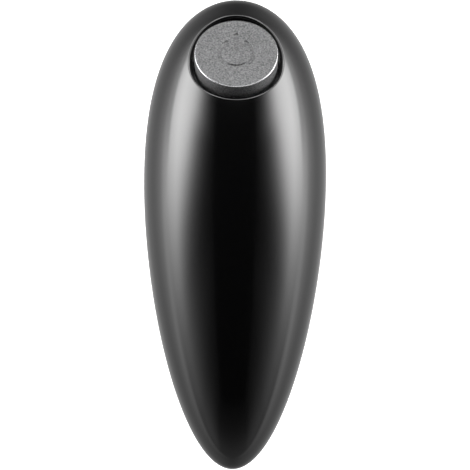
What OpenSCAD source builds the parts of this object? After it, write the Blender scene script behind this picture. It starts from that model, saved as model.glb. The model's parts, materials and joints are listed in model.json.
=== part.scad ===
// Hands-free battery can opener: an egg-shaped body that sits on a can's rim, with a motor,
// a five-stage gear train, a serrated drive wheel and an eccentric cutter wheel.
// +Y points to the head, +Z up. The origin is under the body's centre, at the guard's foot.

/* [Body] */
// Overall length of the body
body_l = 185; // [180:1:230]
// Radius of the round body at mid length
body_r = 35; // [34:0.5:43]
// First term of the egg's taper: how much fuller the head is than the tail
egg_1 = 0.222; // [0.15:0.001:0.25]
// Second term of the taper
egg_2 = 0.087; // [0.05:0.001:0.12]
// Third term of the taper
egg_3 = 0.042; // [0:0.001:0.08]
// How far the flat underside lies below the body's axis
base_depth = 14; // [13.5:0.5:17]
// Wall of both shells
wall = 2.4; // [1.8:0.1:3]
// Height of the lip that locates the two shells
lip_h = 1.6; // [1:0.1:3]

/* [Button] */
// Radius of the button's face
button_r = 16.2; // [13:0.1:18]
// Visible gap round the button
button_gap = 1.2; // [0.8:0.1:1.5]
// Angle by which the button leans to the head
button_tilt = 34.4; // [30:0.1:36]
// Distance of the button face's centre from the head end
button_inset = 22.3; // [20:0.1:26]
// Height of the button's face above the body at its tail side
button_rise = 4.4; // [3:0.1:5]
// How far the button travels
button_travel = 1.6; // [1:0.1:2]

/* [Opening mechanism] */
// Height of the guard below the flat underside
guard_h = 7.5; // [6.5:0.1:10]
// Distance of the drive wheel's axis from the head end
drive_inset = 42.5; // [40:0.5:46]
// Radius of the drive wheel over its teeth
drive_wheel_r = 6; // [5:0.1:7.2]
// Teeth of the drive wheel
drive_wheel_teeth = 26; // [16:1:36]
// Radius of the cutter wheel
cutter_r = 10.5; // [8.7:0.1:11.5]
// Gap that holds the can's seam when the cutter is closed
seam_gap = 1; // [0.6:0.1:1.4]
// Eccentricity of the cutter's axle in its carrier
cutter_ecc = 2.5; // [2:0.1:3]
// Radius of the drive shaft
shaft_r = 2.5; // [2:0.1:3]
// Radius of the lid magnet's steel cup
magnet_r = 7; // [5:0.1:8]

/* [Gear train] */
// Teeth of every plastic pinion below the motor's
pinion_teeth = 12; // [12:1:14]
// Teeth of the motor's pinion
motor_teeth = 10; // [10:1:12]
// Teeth of the first wheel, driven by the motor
wheel_1_teeth = 44; // [40:1:46]
// Teeth of the second wheel
wheel_2_teeth = 42; // [38:1:44]
// Teeth of the third wheel
wheel_3_teeth = 36; // [34:1:38]
// Teeth of the drive gear
drive_gear_teeth = 32; // [30:1:34]
// Teeth of the pinion that turns the clutch gear
clutch_pinion_teeth = 13; // [12:1:14]
// Teeth of the clutch gear
clutch_gear_teeth = 27; // [26:1:28]
// Play between meshing teeth
backlash = 0.16; // [0.1:0.01:0.2]

/* [Power] */
// Radius of the motor's can
motor_r = 11.9; // [10:0.1:12.5]
// Length of the motor's can with its end bell
motor_l = 26.9; // [24:0.1:28]
// Diameter of a battery cell
cell_d = 14.5; // [13.5:0.1:14.5]
// Length of a battery cell's body, without its nub
cell_l = 49.3; // [44:0.1:50]

/* [Fits] */
// Radial clearance of a running fit
run = 0.05; // [0.02:0.01:0.1]
// Radial clearance of a fixed fit
snug = 0.03; // [0.01:0.01:0.05]
// Gap round the battery door
door_gap = 0.3; // [0.2:0.05:0.5]

/* [Hidden] */

$fn = 64;
EPS = 0.01;
FAR = 400;

// Body: levels and the egg's curve
head_y = body_l / 2;
base_z = guard_h;
axis_z = base_z + base_depth;
floor_z = base_z + wall;
egg_steps = 44;

// Levels of the mechanism, each built on the one below
chassis_z = floor_z + 1.6;
chassis_t = 2;
chassis_top = chassis_z + chassis_t;
flange_t = 1.6;
flange_z = chassis_top + 0.2;
washer_z = flange_z + flange_t + run;
washer_t = 0.6;
clutch_z = washer_z + washer_t + run;
clutch_t = 4.5;
clutch_spring_z = clutch_z + clutch_t + run;
clutch_spring_h = 1.2;
clip_z = clutch_spring_z + clutch_spring_h + run;
clip_t = 0.7;
drive_gear_z = clip_z + clip_t + 0.4;
drive_gear_t = 5.4;
gear_3_z = drive_gear_z + drive_gear_t + 0.8;
gear_3_t = 4.4;
step_z = gear_3_z + gear_3_t + 0.6;
motor_floor_z = floor_z + 1.2;
deck_z = max(motor_floor_z + motor_l, step_z + 2);
deck_t = 2;
gear_1_z = deck_z + deck_t + 1;
gear_1_t = 3;
gear_2_z = gear_1_z + gear_1_t + 0.8;
gear_2_t = 3.5;

// Axes of the mechanism, as [x, y]
drive_at = [0, head_y - drive_inset];
closed_centres = drive_wheel_r + seam_gap + cutter_r;
clutch_centres = closed_centres + cutter_ecc;
carrier_at = drive_at + [0, clutch_centres];
cutter_at = carrier_at + [0, cutter_ecc];
motor_at = drive_at - [0, 45];
magnet_at = drive_at - [0, 22];

// Gear sizes: the clutch pair's module follows from its centre distance
module_1 = 0.5;
module_2 = 0.6;
module_3 = 0.7;
module_4 = 1;
module_clutch = 2 * clutch_centres / (clutch_pinion_teeth + clutch_gear_teeth);
pressure = 20;
motor_shift = 0.4;
pinion_shift = 0.3;
clutch_shift = 0.25;

function polar(r, a) = r * [cos(a), sin(a)];
function heading(from, to) = atan2(to[1] - from[1], to[0] - from[0]);
function centres(m, a, b) = m * (a + b) / 2;
// The point at distance p_r from p and q_r from q, on the right of the line from p to q.
function meet(p, p_r, q, q_r) =
    let (d = norm(q - p), a = (p_r * p_r - q_r * q_r + d * d) / (2 * d), h = sqrt(p_r * p_r - a * a))
    p + polar(a, heading(p, q)) + polar(h, heading(p, q) - 90);

gear_3_at = drive_at + polar(centres(module_4, pinion_teeth, drive_gear_teeth), 236);
gear_2_at = gear_3_at + polar(centres(module_3, pinion_teeth, wheel_3_teeth), -4);
gear_1_at = meet(motor_at, centres(module_1, motor_teeth, wheel_1_teeth),
                 gear_2_at, centres(module_2, pinion_teeth, wheel_2_teeth));

// Pins, legs and screws
pin_r = 1.25;
gear_3_pin_r = 1.5;
cover_legs = [drive_at + [-21.5, -2], drive_at + [21.5, -2], motor_at + [-22.5, 3], motor_at + [22.5, 3]];
leg_r = 2.8;
chassis_fixings = [drive_at + [-14.5, 10], drive_at + [14.5, 10], drive_at + [-22, -26], drive_at + [22, -26]];
boss_r = 3;
screw_r = 1.2;
motor_screw_reach = 8;
shell_screws = [[-21.5, drive_at[1] + 16], [21.5, drive_at[1] + 16], [-26, motor_at[1] - 7],
                [26, motor_at[1] - 7], [0, 20.5 - head_y]];
tower_r = 3.6;
tower_top = axis_z - 1;
counterbore_r = 3;
shell_screw_r = 1.3;
shell_screw_seat = base_z + 5.5;
shell_screw_l = 16;

// Cutter carrier
journal_r = 8;
flange_r = 10.5;
post_r = 2.5;
post_top = clip_z + clip_t + 0.8;
clip_groove_r = 2;
stop_r = 1.5;
stop_reach = journal_r + stop_r + 0.15;
stop_half_angle = asin(stop_r / stop_reach) + 0.6;
carrier_swing = 180;
carrier_foot = base_z - 0.6;
cutter_z = base_z - 2.3;
cutter_axle_r = 2.2;
cutter_hub_r = 4.2;
cutter_hub_z = cutter_z - 1.9;
cutter_thread_r = 1.6;
guard_t = 2.2;
guard_r = cutter_ecc + cutter_r + 1.5;
guard_half_arc = 115;

// Drive wheel and its shaft
drive_wheel_t = 4.4;
drive_wheel_z = base_z - 0.5 - drive_wheel_t;
spigot_r = shaft_r - 0.6;
bush_t = 1.5;
seal_r = shaft_r + 1.9;

// Button: its frame has its origin at the face's centre and +Z along its axis
function egg(u) = sqrt(max(0, 1 - u * u)) * (1 + egg_1 * u + egg_2 * u * u + egg_3 * u * u * u);
function body_radius(y) = body_r * egg(2 * y / body_l);
button_hole_r = button_r + button_gap;
button_y = head_y - button_inset;
button_tail_y = button_y - button_r * cos(button_tilt);
button_z = axis_z + body_radius(button_tail_y) + button_rise * cos(button_tilt)
           - button_r * sin(button_tilt);
button_skirt = 10;
button_wall = 1.5;
button_roof = 1.8;
collar_top = -8.6;
collar_bottom = -12;
collar_r = button_hole_r + 0.8;
collar_bore = button_r + 0.25;
barb_top = collar_bottom - 0.3;
bracket_z = -16.2;
bracket_t = 1.8;
bracket_top = bracket_z + bracket_t;
board_t = 1.6;
board_z = -9.6;
switch_z = board_z + board_t;
switch_h = 3.5;
switch_top = switch_z + switch_h;
plunger_r = 1.5;
plunger_l = 3;
plunger_top = switch_top + button_travel + 0.2;
spring_wire = 0.45;
spring_r = button_r - button_wall - 2.4;
switch_half = (spring_r - 2.6) * [0.8, 0.6];
switch_lead = [-3, 1.5 - switch_half[1]];

// Batteries and their door
cell_r = cell_d / 2;
cell_pitch = cell_d + 0.2;
nub_l = 1.2;
bay_front = motor_at[1] - motor_r - 2;
bulkhead_t = 1.6;
plate_t = 0.4;
cells_front = bay_front - bulkhead_t - plate_t - 0.6;
cells_back = cells_front - cell_l - nub_l;
bay_back = cells_back - 2.8 - plate_t;
door_t = 1.9;
door_half_w = cell_d + 0.8;
hinge_r = wall / 2;
hinge_pin_r = hinge_r - 0.5;
hinge_at = [bay_front - bulkhead_t - 0.7, base_z + hinge_r];
door_front = hinge_at[0];
door_back = bay_back - 0.5;
latch_half_w = 5;
latch_l = 9.3;
low_cells_z = floor_z + 0.2 + cell_r;
high_cells_z = low_cells_z + cell_pitch;
cradle_half_w = cell_pitch + 1.3;
cradle_top = high_cells_z + cell_r + 0.3;
cradle_roof_t = 1.2;
board_size = [20, 26];
control_z = cradle_top + cradle_roof_t + 1.4;
control_y = bay_front - 16;
tab_z = high_cells_z + 3;
polarities = [[-1, 0, 1], [1, 0, -1], [-1, 1, -1], [1, 1, 1]];

// ---------------------------------------------------------------- shared shapes

module at(p, z = 0) {
    translate([p[0], p[1], z]) children();
}

module rod(r, z0, z1) {
    translate([0, 0, z0]) cylinder(r = r, h = z1 - z0);
}

module tube(r, bore, z0, z1) {
    difference() {
        rod(r, z0, z1);
        rod(bore, z0 - 1, z1 + 1);
    }
}

module box(low, high) {
    translate(low) cube(high - low);
}

// Everything between two levels
module slab(z0, z1) {
    translate([-FAR / 2, -FAR / 2, z0]) cube([FAR, FAR, z1 - z0]);
}

// The body's egg, turned about its long axis and drawn in by inset
module egg_solid(inset = 0) {
    translate([0, 0, axis_z]) rotate([-90, 0, 0]) rotate_extrude()
        polygon([for (i = [0 : egg_steps]) let (u = cos(180 * i / egg_steps))
            [(body_r - inset) * egg(u), (head_y - inset) * u]]);
}

// The button's frame
module at_button() {
    translate([0, button_y, button_z]) rotate([-button_tilt, 0, 0]) children();
}

// Involute gear outline with a tooth centred on +X
function inv(a) = tan(a) * 180 / PI - a;
function tooth_half(teeth, m, shift, r) =
    let (pitch_r = m * teeth / 2, base = pitch_r * cos(pressure))
    90 / teeth + (2 * shift * m * tan(pressure) - backlash / 2) / (2 * pitch_r) * 180 / PI
    + inv(pressure) - inv(acos(min(1, base / r)));

function tooth_points(teeth, m, shift, i) =
    let (pitch_r = m * teeth / 2, base = pitch_r * cos(pressure), root = pitch_r - m * (1.25 - shift),
         tip = pitch_r + m * (1 + shift), low = max(base, root), steps = 4,
         flank = [for (k = [0 : steps]) let (r = low + (tip - low) * k / steps)
             [r, tooth_half(teeth, m, shift, r)]],
         middle = 360 * i / teeth)
    [polar(root, middle - flank[0][1]),
     for (f = flank) polar(f[0], middle - f[1]),
     for (k = [steps : -1 : 0]) polar(flank[k][0], middle + flank[k][1]),
     polar(root, middle + flank[0][1])];

module gear(teeth, m, shift, z0, h) {
    translate([0, 0, z0]) linear_extrude(h)
        polygon([for (i = [0 : teeth - 1]) each tooth_points(teeth, m, shift, i)]);
}

// A pinion with a tooth towards its wheel, and a wheel with a gap towards its pinion
module pinion_towards(from, to, teeth, m, shift, z0, h) {
    rotate(heading(from, to)) gear(teeth, m, shift, z0, h);
}

module wheel_towards(from, to, teeth, m, shift, z0, h) {
    rotate(heading(from, to) + 180 / teeth) gear(teeth, m, -shift, z0, h);
}

// Lightening ring sunk into both faces of a moulded wheel
module wheel_recess(inner, outer, z0, h) {
    sink = h * 0.22;
    tube(outer, inner, z0 - EPS, z0 + sink);
    tube(outer, inner, z0 + h - sink, z0 + h + EPS);
}

// A pan-head screw with its head's seat at z0, its head above and its shank below
module screw(r, head_r, head_h, l) {
    difference() {
        union() {
            rod(head_r, 0, head_h);
            rod(r, -l, EPS);
        }
        for (a = [0, 90]) rotate(a)
            box([-head_r * 0.6, -0.3, head_h * 0.45], [head_r * 0.6, 0.3, head_h + 1]);
    }
}

// A swept tube through points, as one closed mesh
function unit(v) = v / norm(v);
function rings(path, r, across, sides) =
    [for (i = [0 : len(path) - 1])
        let (a = path[max(0, i - 1)], b = path[min(len(path) - 1, i + 1)], t = unit(b - a),
             side = unit(cross(t, across)), up = cross(side, t))
        for (k = [0 : sides - 1])
            path[i] + r * (cos(360 * k / sides) * side + sin(360 * k / sides) * up)];
function ring_faces(count, sides) =
    concat([[for (k = [0 : sides - 1]) k]],
           [for (i = [0 : count - 2], k = [0 : sides - 1])
               let (a = i * sides + k, b = i * sides + (k + 1) % sides)
               [a, a + sides, b + sides, b]],
           [[for (k = [sides - 1 : -1 : 0]) (count - 1) * sides + k]]);

// The section is turned about the path by a direction that no part of the path runs along.
module sweep(path, r, across = [1, 0, 0], sides = 8) {
    polyhedron(points = rings(path, r, across, sides), faces = ring_faces(len(path), sides));
}

// Points of a smooth curve through the given ones
function spline(p, per = 4) =
    [for (i = [0 : len(p) - 2], k = [0 : per - 1])
        let (a = p[max(0, i - 1)], b = p[i], c = p[i + 1], d = p[min(len(p) - 1, i + 2)], t = k / per)
        0.5 * (2 * b + (c - a) * t + (2 * a - 5 * b + 4 * c - d) * t * t
               + (3 * b - a - 3 * c + d) * t * t * t),
     p[len(p) - 1]];

// Coil spring about Z, from radius r0 at the bottom to r1 at the top
module coil(r0, r1, z0, z1, turns, wire, per_turn = 16, sides = 6) {
    count = turns * per_turn;
    points = [for (i = [0 : count]) let (t = i / count, a = 360 * turns * t, r = r0 + (r1 - r0) * t)
        for (k = [0 : sides - 1])
            [(r + wire * cos(360 * k / sides)) * cos(a), (r + wire * cos(360 * k / sides)) * sin(a),
             z0 + wire + (z1 - z0 - 2 * wire) * t + wire * sin(360 * k / sides)]];
    polyhedron(points = points, faces = ring_faces(count + 1, sides));
}

// ---------------------------------------------------------------- shells

module shell_half(z0, z1) {
    intersection() {
        difference() {
            egg_solid();
            egg_solid(wall);
        }
        slab(z0, z1);
    }
}

// Post under the top shell that a housing screw bites in, joined to the side wall by a rib
module screw_post(p) {
    side = sign(p[0]);
    at(p) rod(tower_r - 0.2, tower_top, axis_z + 9.5);
    if (side != 0)
        box([min(p[0], side * body_r), p[1] - 0.8, axis_z], [max(p[0], side * body_r), p[1] + 0.8, axis_z + 9]);
    else
        at(p) rod(tower_r - 0.2, axis_z, axis_z + body_r);
}

module top_shell() {
    color("#141414") difference() {
        union() {
            shell_half(axis_z, FAR);
            intersection() {
                egg_solid(wall - 0.4);
                union() {
                    for (p = shell_screws) screw_post(p);
                    at_button() rod(collar_r, collar_bottom, 0);
                }
            }
        }
        intersection() {
            egg_solid(wall / 2);
            difference() {
                slab(axis_z - 1, axis_z + lip_h + 0.2);
                for (p = shell_screws) at(p) rod(tower_r, axis_z - 2, axis_z + 4);
            }
            difference() {
                slab(axis_z - 1, FAR);
                egg_solid(wall + EPS);
            }
        }
        at_button() {
            rod(button_hole_r, collar_top, FAR / 10);
            rod(collar_bore, collar_bottom - 1, 0);
        }
        for (p = shell_screws) at(p) rod(shell_screw_r + snug, tower_top - 1, shell_screw_seat + shell_screw_l + 1);
        each_cell() translate([0, bay_front, 0]) rotate([90, 0, 0]) rod(cell_r + 0.15, 0, bay_front - bay_back);
    }
}

module guard() {
    at(carrier_at) rotate(90 - guard_half_arc) rotate_extrude(angle = 2 * guard_half_arc)
        translate([guard_r, 0]) square([guard_t, base_z + EPS]);
}

module hinge_socket(side) {
    box([side > 0 ? door_half_w + door_gap : -door_half_w - 3.3, hinge_at[0] - 3, base_z],
        [side > 0 ? door_half_w + 3.3 : -door_half_w - door_gap, hinge_at[0] + 3, hinge_at[1] + 2.2]);
}

module bottom_shell() {
    color("#1b1b1c") difference() {
        union() {
            intersection() {
                difference() {
                    egg_solid();
                    intersection() {
                        egg_solid(wall);
                        slab(floor_z, FAR);
                    }
                }
                slab(base_z, axis_z);
            }
            // the lip stands on the inner half of the wall
            intersection() {
                difference() {
                    egg_solid(wall / 2 + 0.15);
                    egg_solid(wall);
                }
                slab(axis_z - EPS, axis_z + lip_h);
            }
            intersection() {
                egg_solid(wall - 0.4);
                union() {
                    for (p = shell_screws) at(p) rod(tower_r, base_z + 1, tower_top);
                    for (p = chassis_fixings) at(p) rod(boss_r, floor_z - EPS, chassis_z);
                    at(motor_at) tube(motor_r + 1.7, motor_r + 0.2, floor_z - EPS, motor_floor_z + 1.4);
                    at(motor_at) rod(motor_r - 3, floor_z - EPS, motor_floor_z - 0.1);
                    for (s = [-1, 1]) hinge_socket(s);
                }
            }
            guard();
            at(magnet_at) rod(magnet_r + 1.8, base_z - 3.6, base_z + EPS);
        }
        for (p = shell_screws) at(p) {
            rod(counterbore_r, base_z - 1, shell_screw_seat);
            rod(shell_screw_r + 0.2, base_z, tower_top + 1);
        }
        for (p = chassis_fixings) at(p) rod(screw_r + snug, base_z + 0.8, chassis_z + 1);
        at(drive_at) rod(seal_r + snug, base_z - 1, floor_z + 1);
        at(carrier_at) rod(journal_r + 0.5, base_z - 1, floor_z + 1);
        at(magnet_at) rod(magnet_r + snug, base_z - 4, base_z + 1.2);
        box([-door_half_w - door_gap, door_back - door_gap, base_z - 1],
            [door_half_w + door_gap, door_front + hinge_r + door_gap, floor_z + 1]);
        translate([-door_half_w - 2, hinge_at[0], hinge_at[1]]) rotate([0, 90, 0])
            rod(hinge_pin_r + run, 0, 2 * door_half_w + 4);
        // channels in the head's floor, either side of the rim's path
        for (s = [-1, 1]) translate([s * (journal_r + 4), carrier_at[1], 0])
            box([-0.6, -4, base_z - 1], [0.6, 4, base_z + 0.5]);
    }
}

module housing_screws() {
    color("silver") for (p = shell_screws) at(p, shell_screw_seat) mirror([0, 0, 1])
        screw(shell_screw_r, 2.6, 1.8, shell_screw_l);
}

// ---------------------------------------------------------------- button and switch

module button() {
    color("#8e8f91") at_button() {
        difference() {
            rotate_extrude() polygon([
                [0, 0], [button_r - 0.7, 0], [button_r - 0.2, -0.2], [button_r, -0.7],
                [button_r, -button_skirt], [button_r - button_wall, -button_skirt],
                [button_r - button_wall, -button_roof], [0, -button_roof]]);
        }
        rod(2, plunger_top + run, -button_roof + EPS);
        for (s = [-1, 1]) intersection() {
            tube(button_r, button_r - button_wall, barb_top - 1.3, -button_skirt + EPS);
            box([s > 0 ? 0 : -button_r - 1, -3, -FAR / 10], [s > 0 ? button_r + 1 : 0, 3, 0]);
        }
        for (s = [-1, 1]) intersection() {
            tube(button_r + 0.9, button_r - button_wall, barb_top - 1.3, barb_top);
            box([s > 0 ? 0 : -button_r - 1, -3, -FAR / 10], [s > 0 ? button_r + 1 : 0, 3, 0]);
        }
    }
}

module button_spring() {
    color("silver") at_button()
        coil(spring_r, spring_r, bracket_top + run, -button_roof - run, 4, spring_wire, 18);
}

module switch_bracket() {
    color("#2c2c2e") at_button() difference() {
        union() {
            rod(spring_r + 1.2, bracket_z, bracket_top);
            for (s = [-1, 1]) {
                box([-6, s > 0 ? 0 : -collar_r, bracket_z], [6, s > 0 ? collar_r : 0, bracket_top]);
                box([-6, s > 0 ? collar_r - 1.6 : -collar_r, bracket_z],
                    [6, s > 0 ? collar_r : 1.6 - collar_r, collar_bottom]);
            }
            for (x = [-1, 1], y = [-1, 1]) translate([x * (switch_half[0] - 2), y * (switch_half[1] - 2)])
                rod(1.1, bracket_top - EPS, board_z);
        }
        at(switch_lead) rod(1.3, bracket_z - 1, bracket_top + 1);
    }
}

module switch_board() {
    color("#1d5c37") at_button()
        box([-switch_half[0], -switch_half[1], board_z], [switch_half[0], switch_half[1], switch_z]);
}

module push_switch() {
    color("#222222") at_button() difference() {
        box([-3.2, -3.2, switch_z], [3.2, 3.2, switch_top]);
        rod(plunger_r + run, switch_z + 0.6, switch_top + 1);
    }
}

module switch_plunger() {
    color("#c8c8c2") at_button() rod(plunger_r, plunger_top - plunger_l, plunger_top);
}

// ---------------------------------------------------------------- gearbox

module chassis_plate() {
    color("#b9bcc0") difference() {
        translate([0, 0, chassis_z]) linear_extrude(chassis_t) hull() {
            for (p = cover_legs) translate(p) circle(r = leg_r + 1.7, $fn = 32);
            translate(carrier_at) circle(r = flange_r + 1, $fn = 48);
        }
        at(motor_at) rod(motor_r + 2.3, chassis_z - 1, chassis_top + 1);
        at(drive_at) rod(shaft_r + bush_t + snug, chassis_z - 1, chassis_top + 1);
        at(carrier_at) rod(journal_r + run, chassis_z - 1, chassis_top + 1);
        at(gear_2_at) rod(pin_r + snug, chassis_z - 1, chassis_top + 1);
        at(gear_3_at) rod(gear_3_pin_r + snug, chassis_z - 1, chassis_top + 1);
        at(carrier_at + [stop_reach, 0]) rod(stop_r + snug, chassis_z - 1, chassis_top + 1);
        for (p = concat(cover_legs, chassis_fixings)) at(p) rod(screw_r + snug, chassis_z - 1, chassis_top + 1);
    }
}

module chassis_screws() {
    color("silver") for (p = chassis_fixings) at(p, chassis_top) screw(screw_r, 2.2, 1.4, 5);
}

module gearbox_cover() {
    wall_y = drive_at[1] - 9;
    color("#e4e2da") difference() {
        union() {
            translate([0, 0, deck_z]) linear_extrude(deck_t) hull() {
                for (i = [2, 3]) translate(cover_legs[i]) circle(r = leg_r + 0.4, $fn = 32);
                for (s = [-1, 1]) translate([s * 17, wall_y]) circle(r = 2, $fn = 32);
            }
            translate([0, 0, step_z]) linear_extrude(deck_t) hull() {
                for (i = [0, 1]) translate(cover_legs[i]) circle(r = leg_r + 0.4, $fn = 32);
                for (s = [-1, 1]) translate([s * 17, wall_y]) circle(r = 2, $fn = 32);
            }
            box([-17, wall_y - 2, step_z], [17, wall_y, deck_z + deck_t]);
            for (i = [0 : 3]) at(cover_legs[i]) rod(leg_r, chassis_top, (i < 2 ? step_z : deck_z) + EPS);
        }
        for (p = cover_legs) at(p) rod(screw_r + snug, chassis_top - 1, FAR / 4);
        at(drive_at) rod(shaft_r + bush_t + snug, step_z - 1, step_z + deck_t + 1);
        at(gear_3_at) rod(gear_3_pin_r + snug, deck_z - 1, deck_z + deck_t + 1);
        at(gear_2_at) rod(module_3 * (pinion_teeth / 2 + 1 + pinion_shift) + 0.8, deck_z - 1, deck_z + deck_t + 1);
        at(gear_1_at) rod(pin_r + snug, deck_z - 1, deck_z + deck_t + 1);
        at(motor_at) rod(3.4, deck_z - 1, deck_z + deck_t + 1);
        for (a = motor_screw_angles()) at(motor_at + polar(motor_screw_reach, a))
            rod(1.05, deck_z - 1, deck_z + deck_t + 1);
    }
}

function motor_screw_angles() = [for (s = [-90, 90]) heading(motor_at, gear_1_at) + s];

module cover_screws() {
    color("silver") for (i = [0 : 3]) {
        top = (i < 2 ? step_z : deck_z) + deck_t;
        at(cover_legs[i], top) screw(screw_r, 2.3, 1.5, top - chassis_z - 0.2);
    }
}

module gear_pins() {
    color("silver") {
        at(gear_1_at) rod(pin_r, deck_z + 0.2, gear_2_z + gear_2_t + 0.8);
        at(gear_2_at) rod(pin_r, chassis_z, gear_2_z + gear_2_t + 0.8);
        at(gear_3_at) rod(gear_3_pin_r, chassis_z, deck_z + deck_t);
    }
}

module stop_pin() {
    color("silver") at(carrier_at + [stop_reach, 0]) rod(stop_r, chassis_z, flange_z + flange_t);
}

module gear_1() {
    color("#f1efe6") at(gear_1_at) difference() {
        union() {
            wheel_towards(gear_1_at, motor_at, wheel_1_teeth, module_1, motor_shift, gear_1_z, gear_1_t);
            pinion_towards(gear_1_at, gear_2_at, pinion_teeth, module_2, pinion_shift,
                           gear_1_z + gear_1_t - EPS, gear_2_t + 0.9);
            rod(2.4, deck_z + deck_t + 0.15, gear_1_z + EPS);
        }
        rod(pin_r + run, 0, FAR);
        wheel_recess(module_2 * (pinion_teeth / 2 + 2), module_1 * (wheel_1_teeth / 2 - 3), gear_1_z, gear_1_t);
    }
}

module gear_2() {
    wheel_r = module_2 * wheel_2_teeth / 2;
    color("#f1efe6") at(gear_2_at) difference() {
        union() {
            wheel_towards(gear_2_at, gear_1_at, wheel_2_teeth, module_2, pinion_shift, gear_2_z, gear_2_t);
            pinion_towards(gear_2_at, gear_3_at, pinion_teeth, module_3, pinion_shift,
                           gear_3_z - 0.2, gear_3_t + 0.4);
            rod(3.4, gear_3_z + gear_3_t, gear_2_z + EPS);
            rod(pin_r + 0.95, chassis_top + 0.15, gear_3_z);
        }
        rod(pin_r + run, 0, FAR);
        wheel_recess(4.8, wheel_r - 2.4, gear_2_z, gear_2_t);
    }
}

module gear_3() {
    wheel_r = module_3 * wheel_3_teeth / 2;
    color("#f1efe6") at(gear_3_at) difference() {
        union() {
            wheel_towards(gear_3_at, gear_2_at, wheel_3_teeth, module_3, pinion_shift, gear_3_z, gear_3_t);
            pinion_towards(gear_3_at, drive_at, pinion_teeth, module_4, pinion_shift,
                           drive_gear_z - 0.2, drive_gear_t + 1);
            rod(3.5, chassis_top + 0.15, drive_gear_z);
            rod(3.5, gear_3_z + gear_3_t - EPS, deck_z - 0.15);
        }
        rod(gear_3_pin_r + run, 0, FAR);
        wheel_recess(8, wheel_r - 2.6, gear_3_z, gear_3_t);
    }
}

// ---------------------------------------------------------------- motor

// A round can with two flats
module motor_round(r, z0, z1) {
    intersection() {
        rod(r, z0, z1);
        box([-motor_r, -motor_r + 2.9, z0], [motor_r, motor_r - 2.9, z1]);
    }
}

module motor_can() {
    color("#c7c9cc") at(motor_at) rotate(90) difference() {
        union() {
            motor_round(motor_r, motor_floor_z + 4, deck_z);
            rod(3.1, deck_z - EPS, deck_z + 1.6);
        }
        motor_round(motor_r - 0.9, motor_floor_z + 3, deck_z - 1.2);
        rod(1 + run, 0, FAR);
        for (a = motor_screw_angles()) rotate(-90) at(polar(motor_screw_reach, a)) rod(0.9, deck_z - 3, deck_z + 1);
    }
}

module motor_end_bell() {
    color("#f4f4f0") difference() {
        at(motor_at) rotate(90) motor_round(motor_r, motor_floor_z, motor_floor_z + 4);
        at(motor_at) rod(1 + run, motor_floor_z + 1.2, FAR);
        motor_terminals();
    }
}

module motor_terminals() {
    color("#c9a04a") for (s = [-1, 1]) at(motor_at)
        box([s * 5 - 1.1, -motor_r - 1.5, motor_floor_z + 1.6], [s * 5 + 1.1, -motor_r + 1.4, motor_floor_z + 2.1]);
}

module motor_screws() {
    color("silver") for (a = motor_screw_angles()) at(motor_at + polar(motor_screw_reach, a), deck_z + deck_t)
        screw(0.87, 1.7, 0.9, deck_t + 1.1);
}

module motor_shaft() {
    color("silver") at(motor_at) rod(1, motor_floor_z + 1.3, gear_1_z + gear_1_t + 0.8);
}

module motor_pinion() {
    color("#c9a04a") at(motor_at) difference() {
        pinion_towards(motor_at, gear_1_at, motor_teeth, module_1, motor_shift, gear_1_z - 0.1, gear_1_t + 0.3);
        rod(1 + snug / 3, 0, FAR);
    }
}

// ---------------------------------------------------------------- drive

module drive_shaft() {
    color("silver") at(drive_at) difference() {
        union() {
            rod(shaft_r, base_z - 0.5, step_z + deck_t + 0.4);
            rod(spigot_r, drive_wheel_z, base_z - 0.5 + EPS);
        }
        rod(1 + snug, drive_wheel_z - 1, base_z + 2.5);
    }
}

module drive_gear() {
    color("#d9d4c4") at(drive_at) difference() {
        union() {
            wheel_towards(drive_at, gear_3_at, drive_gear_teeth, module_4, pinion_shift, drive_gear_z, drive_gear_t);
            rod(5, clutch_z + clutch_t + 0.6, drive_gear_z + EPS);
            rod(4, drive_gear_z + drive_gear_t - EPS, step_z - 0.3);
        }
        rod(shaft_r + snug / 3, 0, FAR);
        wheel_recess(7, module_4 * drive_gear_teeth / 2 - 3.6, drive_gear_z, drive_gear_t);
    }
}

module drive_pinion() {
    color("#9ea1a5") at(drive_at) difference() {
        pinion_towards(drive_at, carrier_at, clutch_pinion_teeth, module_clutch, clutch_shift,
                       clutch_z - 0.5, clutch_t + 1);
        rod(shaft_r + snug / 3, 0, FAR);
    }
}

// Steel wheel with V teeth that grip the inside of the can's seam
module drive_wheel() {
    tooth = 180 / drive_wheel_teeth;
    color("#a8aaad") at(drive_at) difference() {
        intersection() {
            translate([0, 0, drive_wheel_z]) linear_extrude(drive_wheel_t)
                polygon([for (i = [0 : 2 * drive_wheel_teeth - 1])
                    polar(drive_wheel_r - (i % 2) * 0.7, i * tooth)]);
            rotate_extrude() polygon([
                [0, drive_wheel_z], [drive_wheel_r - 0.6, drive_wheel_z], [drive_wheel_r, drive_wheel_z + 0.6],
                [drive_wheel_r, drive_wheel_z + drive_wheel_t - 0.4],
                [drive_wheel_r - 0.4, drive_wheel_z + drive_wheel_t], [0, drive_wheel_z + drive_wheel_t]]);
        }
        rod(spigot_r + snug / 3, 0, FAR);
    }
}

module drive_wheel_screw() {
    color("#8b8d90") at(drive_at, drive_wheel_z) mirror([0, 0, 1]) screw(1, 3, 1.3, 5.5);
}

module lower_bush() {
    color("#b08d57") at(drive_at) {
        tube(shaft_r + bush_t, shaft_r + run, chassis_z, chassis_top + EPS);
        tube(shaft_r + bush_t + 1, shaft_r + run, chassis_top, chassis_top + 0.8);
    }
}

module upper_bush() {
    color("#b08d57") at(drive_at) {
        tube(shaft_r + bush_t, shaft_r + run, step_z, step_z + deck_t + 0.6);
        tube(shaft_r + bush_t + 1, shaft_r + run, step_z + deck_t, step_z + deck_t + 0.6);
    }
}

module shaft_seal() {
    color("#333333") at(drive_at) tube(seal_r, shaft_r + run, base_z + 0.1, floor_z - 0.1);
}

// ---------------------------------------------------------------- cutter

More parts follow.
